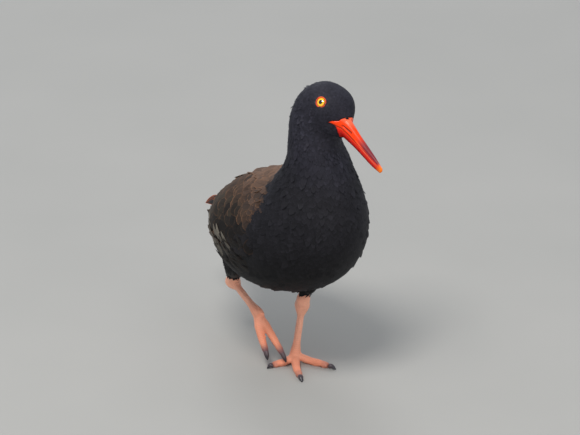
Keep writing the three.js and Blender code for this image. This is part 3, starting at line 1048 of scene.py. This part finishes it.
def skin_depth(points):
    """How far inside the solids the skin lies: by the coat's depth, and deeper behind the eyes."""
    up = points[:, 2]
    depth = COAT_DEPTH * ramp(up, 70, 84) * (1 - 0.6 * ramp(up, 215, 250))
    to_eye = np.min([norm(points - swing_head(eye)) for eye in eye_surface.values()], 0)
    depth = depth * (0.25 + 0.75 * ramp(to_eye, 5.5, 12)) + 2.3 * ramp(to_eye, 5.7, 4.5)
    for leg in LEGS.values():  # the ankle's knob
        down = unit(leg["joint"] - leg["ankle"])
        below = (points - leg["ankle"]) @ down
        beside = norm(points - leg["ankle"] - below[:, None] * down)
        swell = ramp(below, -15, -10) * ramp(below, 1, -5)
        swell = swell + 0.45 * bell(below, 0, 4.5) - 0.4 * bell(below, 9, 3.5)
        depth = depth - swell * ramp(beside, 11, 8)
    return depth


def leg_marks(points, normals):
    """A bare leg's colour, places in its row of scutes, upper side and depth of the grooves."""
    best = np.full(len(points), 1e9)
    reach, toe, ending = np.zeros((3, len(points)))
    for name, leg in LEGS.items():
        ankle, joint = leg["ankle"], leg["joint"]
        shank = [leg["thigh"][-1], ankle, (ankle + joint) / 2, joint]
        for path in [shank, *leg["toes"].values()]:
            is_toe = float(path is not shank)
            gap, along = path_reach(points, path)
            nearer = gap < best
            whole = norm(np.diff(path, axis=0)).sum()
            dark = TOE_END_SHARE[name] * is_toe * ramp(along / whole, 0.72, 0.98)
            best, reach = np.where(nearer, gap, best), np.where(nearer, along, reach)
            toe, ending = np.where(nearer, is_toe, toe), np.where(nearer, dark, ending)
    scute = reach / np.where(toe > 0.5, 1.5, 1.8)
    upper = ramp(normals[:, 2] * 0.6 - normals[:, 1] * 0.5 + 0.5, 0.35, 0.8)
    groove = 0.08 * ramp(np.abs(scute % 1 - 0.5) * 2, 0.72, 1.0) * upper
    far_out = ramp(np.min([norm(points - leg["joint"]) for leg in LEGS.values()], 0), 2, 20)
    orange = np.where(toe > 0.5, 0.5 + 0.3 * far_out, 0.5 - 0.4 * far_out)
    dusk = 0.4 * ramp(points[:, 2], 58, 66)
    colour = layer(LEG_PINK, LEG_ORANGE, orange)
    for paint, share in ((LEG_DUSK, dusk), (TOE_END, ending)):
        colour = layer(colour, paint, share)
    return colour, scute, upper, groove


def shape_skin():
    skin = bmesh.new()
    skin.from_mesh(skin_source())
    soften(skin, skin.verts, 0.5)
    # the bare legs get a finer mesh
    low = {face for v in skin.verts if v.co.z < BARE_BELOW * MM for face in v.link_faces}
    edges = [edge for edge in skin.edges if any(face in low for face in edge.link_faces)]
    bmesh.ops.subdivide_edges(skin, edges=edges, cuts=1, use_grid_fill=True)
    for lowest, highest, factor in ((BARE_BELOW, 1000, 0.5), (0.8, 70, 0.4)):
        for _ in range(3):
            chosen = [v for v in skin.verts if lowest * MM < v.co.z < highest * MM]
            soften(skin, chosen, factor)
    skin.normal_update()
    points = np.array([v.co for v in skin.verts]) / MM
    normals = np.array([v.normal for v in skin.verts])
    roots, paints = (np.concatenate(part) for part in zip(*roots_seen))
    tree = tree_of(roots)
    feathered = is_feathered(points)
    bare = ~feathered
    depth = skin_depth(points)
    colour = np.empty((len(points), 4))
    scute, upper = np.zeros((2, len(points)))
    for index in np.flatnonzero(feathered):
        colour[index] = paints[tree.find(points[index])[1]]
    colour[bare], scute[bare], upper[bare], groove = leg_marks(points[bare], normals[bare])
    depth[bare] += groove
    moved = points - normals * depth[:, None]
    moved[:, 2] = np.maximum(moved[:, 2], 0.0)
    for vertex, point in zip(skin.verts, moved * MM):
        vertex.co = point
    mesh = take_mesh(skin, "skin")
    write_attribute(mesh, "coat", "FLOAT_COLOR", colour)
    for name, values in (("bare", bare), ("scute", scute), ("upper", upper)):
        write_attribute(mesh, name, "FLOAT", values)
    return mesh


def skin_paint():
    paint = Paint("skin", Roughness=0.5, Specular_IOR_Level=0.4)
    bare = paint.attribute("bare", "Fac")
    blotch = paint.noise(90.0, 4.0)
    pores = paint.noise(1400.0)
    cells = {"Vector": paint.place(), "Scale": 900.0}
    cells = paint.node("ShaderNodeTexVoronoi", {"feature": "DISTANCE_TO_EDGE"}, cells)
    crack = cells.step(0.0, 0.12)
    scute = paint.attribute("scute", "Fac") + (pores - 0.5) * 0.12
    groove = (scute.fraction() - 0.5).size().step(0.4, 0.5) * paint.attribute("upper", "Fac")
    strength = 0.84 + blotch * 0.36 + (crack - 1.0) * 0.1 * bare - groove * 0.2
    paint.feed(
        Base_Color=paint.tint(paint.attribute("coat"), strength),
        Roughness=0.62 - bare * 0.14 + (pores - 0.5) * 0.1,
    )
    paint.bump(crack * 0.4 * bare + pores * 0.4 - groove, 0.0003, 0.7)
    return paint.material


finish_piece(new_object("skin", shape_skin()), skin_paint(), "dark_plumage", *FLESH)

# Bill
# Distance from the root, half width, height above the mouth line, depth below it
BILL_ROWS = [
    [0, 11, 7, 4.5], [5, 11.3, 9.6, 6.2], [14, 6.9, 10.8, 6.9], [22, 5.2, 9.6, 6.0],
    [34, 4.2, 7.6, 4.7], [46, 3.3, 6.2, 4.4], [58, 2.3, 4.9, 4.2], [67, 1.6, 3.4, 3.2],
    [73, 1.1, 2.3, 2.1],
]
bill_rows = smooth_rows(BILL_ROWS)
RIDGE_OUT, RIDGE_RISE = [24, 32, 46, 60, 72], [8.0, 4.9, 3.3, 2.3, 1.8]
FACE_ENDS = 19  # no face is further out along the bill than this


def face_half_widths():
    """Finds how far out the face's surface is beside a place on the bill's own axes."""
    stations, turns = np.linspace(FACE_FROM, LAST_STATION, 160), np.linspace(0.05, math.pi, 160)
    station, turn = (part.ravel() for part in np.meshgrid(stations, turns))
    points = straight_only(station, turn)
    side = points[:, 0] - MIDLINE
    tree = tree_of(np.stack([*bill_place(points), 0 * side], -1))

    def read(outs, rises):
        widths = np.zeros(len(outs))
        for index, (out, rise) in enumerate(zip(outs, rises)):
            if out < FACE_ENDS:
                _, near, gap = tree.find((out, rise, 0))
                widths[index] = side[near] if gap < 0.6 else 0
        return widths

    return read


face_side = face_half_widths()
MOUTH_RISE = 2.5
MOUTH_GAP = 0.1
BILL_UNDER_FACE = 1.4
WEDGE_OVER_FACE = 0.35
NOSTRIL_FROM, NOSTRIL_TO, NOSTRIL_RISE = 15.5, 28.0, 5.0


def mouth_line(out):
    return MOUTH_RISE * (1 - 0.85 * ramp(out, 48, 73))


def nostril_depth(out, rise, half_height):
    """1 in the middle of the nostril's slit, which widens forwards, and 0 away from it."""
    middle = NOSTRIL_RISE + (out - 20) * 0.04
    height = half_height * (0.55 + 0.45 * ramp(out, NOSTRIL_FROM, NOSTRIL_TO - 2))
    ends = ramp(out, NOSTRIL_FROM - 0.8, NOSTRIL_FROM + 1.2)
    return bell(rise, middle, height) * ends * ramp(out, NOSTRIL_TO + 0.3, NOSTRIL_TO - 1.5)


def mandible(upper):
    def place(along, turn):
        out, half_width, above, below = bill_rows(along ** 0.9 * (len(BILL_ROWS) - 1)).T
        closing = np.clip((1.0 - along) / 0.03, 0, 1) ** 0.5 * np.clip(along / 0.01, 0, 1)
        height = np.maximum(0, np.cos(turn)) ** 1.2
        mouth = mouth_line(out)
        side = np.abs(np.sin(turn)) * half_width
        if upper:
            rise = mouth + MOUTH_GAP + (above - mouth - MOUTH_GAP) * height
            hollow = 0.5 * bell(rise, 4.2, 1.5) * ramp(out, 14, 18) * ramp(out, 44, 30)
            nostril = 1.5 * nostril_depth(out, rise, 0.6)
            groove = 0.25 * bell(rise, mouth + 1.0, 0.5) * ramp(out, 30, 40)
            for depth, most in ((hollow, 0.5), (nostril, 0.6), (groove, 0.4)):
                side = side - np.minimum(side * most, depth)
        else:
            rise = mouth - MOUTH_GAP - (below + mouth - MOUTH_GAP) * height
        # over the face the mandibles are hidden, but for the bare wedge at the corner of the mouth
        face = face_side(out, rise)
        wedge = inside_wedge(out, rise, 0.4) * (face > 0)
        hidden = np.where(face > 0, np.minimum(side, np.maximum(face - BILL_UNDER_FACE, 0)), side)
        side = hidden * (1 - wedge) + np.maximum(side, face + WEDGE_OVER_FACE) * wedge
        point = BILL_ROOT + BILL_AXIS * out[:, None]
        point = point + BILL_UP * (mouth + (rise - mouth) * closing)[:, None]
        point[:, 0] += side * np.sign(np.sin(turn)) * closing
        return swing_head(point)

    return place


BILL_RED = srgb(228, 26, 0)
BILL_ORANGE = srgb(246, 66, 0)
# pale orange for the line along the bill's side, also a painted highlight at the ridge's base
BILL_PALE_AND_HIGHLIGHT = srgb(244, 140, 104)
BILL_DUSKY = srgb(100, 40, 50)
BILL_DEEP = srgb(160, 10, 2)
BILL_TIP = srgb(240, 124, 24)
# the nostril's own dark, also painted along the mouth line as shade
NOSTRIL_AND_MOUTH_SHADE = srgb(58, 18, 14)


def bill_colours(mesh, upper):
    """Red, orange above, deeper below, with pale line and tip, dusky ridge, a painted highlight at
    the ridge's base and painted shade along the mouth line.
    """
    straight = swing_head(mesh_points(mesh) / MM, -1.0)
    out, rise = bill_place(straight)
    mouth = mouth_line(out)
    above_ridge = rise - np.interp(out, RIDGE_OUT, RIDGE_RISE)
    line = bell(above_ridge, -1.1, 0.55) * ramp(out, 32, 44) * ramp(out, 70, 64)
    layers = [
        (BILL_DEEP, 0.85 * ramp(-rise, -0.8, 3.0)),
        (BILL_ORANGE, 0.8 * ramp(rise, 0.5, 2.5) * ramp(out, 60, 34)),
        (BILL_PALE_AND_HIGHLIGHT, 0.5 * line),
    ]
    if upper:
        side = np.abs(straight[:, 0] - MIDLINE)
        # painted highlight: a pale patch high on the ridge near its base
        ridge_base_highlight = ramp(rise, 7.0, 10.0) * ramp(out, 28, 17) * ramp(out, 12, 15)
        dusk = ramp(out, 31, 47) * ramp(out, 70, 65) * ramp(above_ridge, -0.5, 0.5)
        # painted shade: a dark line just above the mouth line, where the mandibles meet
        mouth_shade = ramp(rise - mouth, 0.8, 0.2) * (1 - 0.6 * ramp(out, 32, 40))
        layers += [
            (BILL_PALE_AND_HIGHLIGHT, 0.4 * ridge_base_highlight), (BILL_DUSKY, 0.9 * dusk),
            (NOSTRIL_AND_MOUTH_SHADE, 0.98 * nostril_depth(out, rise, 0.75) * ramp(side, 1.5, 3)),
            (NOSTRIL_AND_MOUTH_SHADE, 0.9 * mouth_shade),
        ]
    else:
        # painted shade: a dark line just below the mouth line
        mouth_shade = ramp(mouth - rise, 0.4, 0.12) * (1 - 0.5 * ramp(out, 32, 40))
        layers.append((NOSTRIL_AND_MOUTH_SHADE, 0.6 * mouth_shade))
    colour = np.repeat(BILL_RED[None], len(out), 0)
    for paint, share in layers + [(BILL_TIP, 0.85 * ramp(out, 65, 72))]:
        colour = layer(colour, paint, share)
    write_attribute(mesh, "coat", "FLOAT_COLOR", colour)


def horn_paint(name, contrast, **finish):
    paint = Paint(name, **finish)
    streaks = paint.noise(260.0, 4.0)
    fine = paint.noise(2200.0)
    strength = 1.0 + (streaks - 0.5) * contrast + (fine - 0.5) * 0.08
    colour = paint.tint(paint.attribute("coat"), strength)
    paint.feed(Base_Color=colour, Roughness=0.26 + streaks * 0.16)
    paint.bump(streaks * 0.7 + fine * 0.3, 0.0002, 0.35)
    return paint.material


bill_paint = horn_paint(
    "bill_horn", 0.22, Specular_IOR_Level=0.22, Coat_Weight=0.08, Coat_Roughness=0.15
)
for node, upper in (("bill_upper", True), ("bill_lower", False)):
    piece = tube(f"{node}_horn", 64, 120, mandible(upper), bill_paint, "bill_horn", node)
    bill_colours(piece.data, upper)

# Eyes, with a fleshy ring round each
EYE_YELLOW = srgb(252, 200, 20)
EYE_ORANGE = srgb(244, 158, 10)
EYE_RIM = srgb(90, 26, 8)
PUPIL = srgb(6, 5, 6)
RING_RED = srgb(216, 56, 16)
RING_ORANGE = srgb(220, 84, 22)


def eye_paint(name):
    paint = Paint(f"eye_{name}", Roughness=0.08, Coat_Weight=1.0, Coat_Roughness=0.03)
    from_middle = paint.attribute("iris", "Fac")
    outer = from_middle + (paint.noise(2600.0) - 0.5) * 0.35
    colour = paint.mix(outer.step(2.4, 3.7), EYE_YELLOW, EYE_ORANGE)
    colour = paint.mix(outer.step(3.65, 4.0), colour, EYE_RIM)
    colour = paint.mix(1.0 - from_middle.step(1.8, 2.0), colour, PUPIL)
    paint.feed(Base_Color=colour)
    return paint.material


ring_paint = Paint("eye_ring_skin", Roughness=0.42, Subsurface_Weight=0.05, Specular_IOR_Level=0.4)
folds = ring_paint.noise(1500.0)
ring_paint.feed(Base_Color=ring_paint.mix(folds, RING_RED, RING_ORANGE))
ring_paint.bump(folds, 0.0002, 0.6)
RING_CORNER = 2.2  # radians from the ring's front to the fold in its back corner
LEFT_EYE_DEEPER = 0.5  # keeps it behind the forehead, as in the photo


def make_eye(side, name):
    looks = eye_looks[side]
    flat = unit(np.cross(looks, at(0, 0, 1)))
    high = unit(np.cross(flat, looks))
    high = high * np.sign(high[2])
    centre = eye_surface[side] - looks * (EYE_DEPTH + (LEFT_EYE_DEEPER if side > 0 else 0))

    def spoke(angle):
        return flat * np.cos(angle)[:, None] + high * np.sin(angle)[:, None]

    def ball(along, turn):
        lean = along[:, None] * math.pi
        point = centre + looks * EYE_THICK * np.cos(lean) + spoke(turn) * EYE_RADIUS * np.sin(lean)
        return swing_head(point)

    def ring(along, turn):
        angle = along * 2 * math.pi
        from_corner = np.angle(np.exp(1j * (angle - (math.pi + side * RING_CORNER))))
        fat = 0.42 + 0.03 * np.sin(angle * 9) + 0.25 * bell(from_corner, 0, 0.5)
        radius = EYE_RING_RADIUS + fat * np.cos(turn)
        rise = EYE_RING_RISE + 0.8 * fat * np.sin(turn)
        return swing_head(centre + looks * rise[:, None] + spoke(angle) * radius[:, None])

    eye = tube(f"eyeball_{name}", 64, 48, ball, eye_paint(name), "eye", f"eye_{name}")
    arm = swing_head(mesh_points(eye.data) / MM, -1.0) - centre
    from_middle = np.hypot(arm @ flat * 1.12, arm @ high)
    write_attribute(eye.data, "iris", "FLOAT", np.where(arm @ looks > 0, from_middle, 9))
    tube(f"eye_ring_skin_{name}", 20, 96, ring, ring_paint.material, "eye_skin", f"eye_ring_{name}")


for side, name in SIDES.items():
    make_eye(side, name)

# Claws
claw_paint = horn_paint("claw_horn", 0.5)
CLAW_ROOT = srgb(92, 72, 76)
CLAW_TIP = srgb(46, 42, 48)
CLAW_START = {"left": 1.0, "right": -1.6}


def make_claw(toe, name, leg):
    root, tip = leg["toes"][toe][-1], leg["tips"][toe]
    bend = (root + tip) / 2 + at(0, 0, leg["claw_rise"])
    start = root + unit(bend - root) * CLAW_START[name]
    form = limb_form([start, bend, tip], [2.5, 2.1, 0.5], 0.86)

    def place(along, turn):
        middle = (form(along, turn * 0) + form(along, turn * 0 + math.pi)) / 2
        close = np.clip((1 - along) / 0.06, 0, 1) ** 0.5 * np.clip(along / 0.05, 0, 1)
        return middle + (form(along, turn) - middle) * close[:, None]

    node = f"claw_{toe}_{name}"
    claw = tube(f"{node}_horn", 20, 24, place, claw_paint, "claw_horn", node)
    share = ramp(norm(mesh_points(claw.data) / MM - start) / norm(tip - start), 0.1, 0.8)
    write_attribute(claw.data, "coat", "FLOAT_COLOR", layer(CLAW_ROOT, CLAW_TIP, share))


for name, leg in LEGS.items():
    for toe in leg["toes"]:
        make_claw(toe, name, leg)

# Floor, light and camera
floor_shape = bmesh.new()
bmesh.ops.create_grid(floor_shape, x_segments=1, y_segments=1, size=4.0)
floor = new_object("floor", take_mesh(floor_shape, "floor"))
floor_paint = Paint("floor", Roughness=0.85)
grain = floor_paint.noise(6.0, 2.0)
floor_paint.feed(Base_Color=floor_paint.mix(grain, srgb(158, 157, 153), srgb(166, 164, 160)))
floor.data.materials.append(floor_paint.material)

scene = bpy.context.scene
world = bpy.data.worlds.new("studio")
world.use_nodes = True
sky = world.node_tree.nodes["Background"].inputs
sky["Color"].default_value = (0.86, 0.92, 1.0, 1)
sky["Strength"].default_value = 0.6
scene.world = world
scene.view_settings.view_transform = "Standard"

BIRD_MIDDLE = Vector((-0.006, 0.01, 0.15))


def soft_light(name, place, size, power, colour):
    lamp = bpy.data.lights.new(name, "AREA")
    lamp.shape = "DISK"
    lamp.size = size
    lamp.energy = power
    lamp.color = colour
    made = bpy.data.objects.new(name, lamp)
    made.location = place
    made.rotation_euler = (BIRD_MIDDLE - Vector(place)).to_track_quat("-Z", "Y").to_euler()
    scene.collection.objects.link(made)


soft_light("key", (-1.0, -0.9, 2.4), 0.9, 52, (1.0, 0.98, 0.95))
soft_light("fill", (0.5, -2.5, 0.7), 1.2, 13, (1.0, 0.96, 0.92))
soft_light("back", (0.6, 2.0, 2.0), 1.2, 20, (0.95, 0.97, 1.0))

CAMERA_AZIMUTH = math.radians(-26)
CAMERA_HEIGHT = math.radians(24)
CAMERA_FAR = 6.0
VIEW_WIDTH = 0.50435  # metres that the frame spans at the bird
CAMERA_TARGET = Vector((-0.01306, -0.01272, 0.14589))
lens = bpy.data.cameras.new("camera")
lens.sensor_width = 36
lens.lens = lens.sensor_width * CAMERA_FAR / VIEW_WIDTH
lens.clip_start, lens.clip_end = 0.1, 50
camera = bpy.data.objects.new("camera", lens)
away = Vector((
    math.sin(CAMERA_AZIMUTH) * math.cos(CAMERA_HEIGHT),
    -math.cos(CAMERA_AZIMUTH) * math.cos(CAMERA_HEIGHT),
    math.sin(CAMERA_HEIGHT),
))
camera.location = CAMERA_TARGET + away * CAMERA_FAR
camera.rotation_mode = "QUATERNION"
camera.rotation_quaternion = (-away).to_track_quat("-Z", "Y")
scene.collection.objects.link(camera)
scene.camera = camera

bpy.context.view_layer.update()
